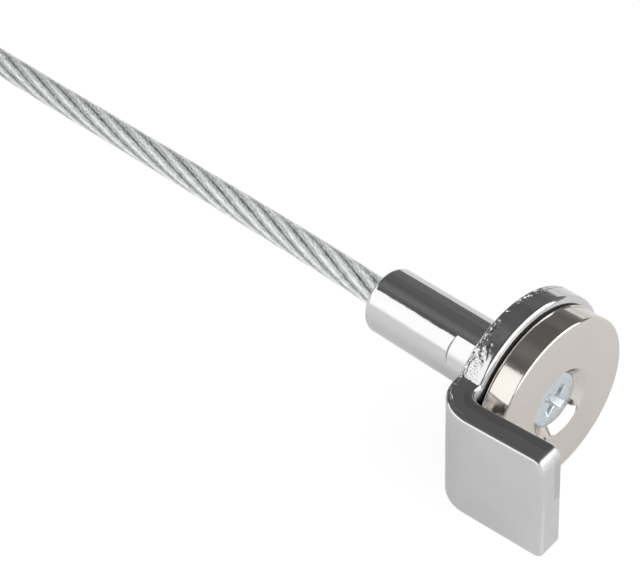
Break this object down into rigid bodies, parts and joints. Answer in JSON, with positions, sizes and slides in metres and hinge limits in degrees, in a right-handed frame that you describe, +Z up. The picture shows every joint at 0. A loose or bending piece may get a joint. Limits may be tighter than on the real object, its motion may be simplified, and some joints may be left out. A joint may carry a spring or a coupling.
{
  "type": "laptop cable lock",
  "caption": "Steel security cable with a magnetic hook head that turns on its end, and a crimped eye at the other end.",
  "frame": {"origin": "on the surface, under the middle of the head's box, cable left out", "axes": "+X from the cable towards the magnet's face along the swivel's axis, +Z up, hook tab on the -Y side"},
  "size_m": [0.1924, 0.0736, 0.0215],
  "materials": {
    "barrel": "polished chrome plate, fine turning marks",
    "bracket": "chrome plate over stamped steel, satin tab, sheared rim",
    "magnet": "nickel plate, smooth, small nicks",
    "screw": "bright zinc plate",
    "washer": "black rubber",
    "bush": "turned",
    "slip_ring": "natural nylon",
    "crimp": "pressed",
    "rope": "galvanised strands",
    "cable": "clear plastic cover over galvanised strands"
  },
  "bodies": {
    "cable": {"stop_sleeve": "crimp", "rope_end": "rope", "cable_run": "cable", "cable_coil": "cable", "cable_eye": "cable", "eye_ferrule": "crimp"},
    "head": {"swivel_barrel": "barrel", "retaining_bush": "bush", "slip_washer": "slip_ring", "hook_bracket": "bracket", "rubber_washer": "washer", "ring_magnet": "magnet", "magnet_screw": "screw"}
  },
  "joints": [
    {"name": "head_swivel", "type": "hinge", "parent": "cable", "child": "head", "pos_m": [-0.01327, 0.00143, 0.01075], "axis": [-1, 0, 0], "continuous": true}
  ]
}
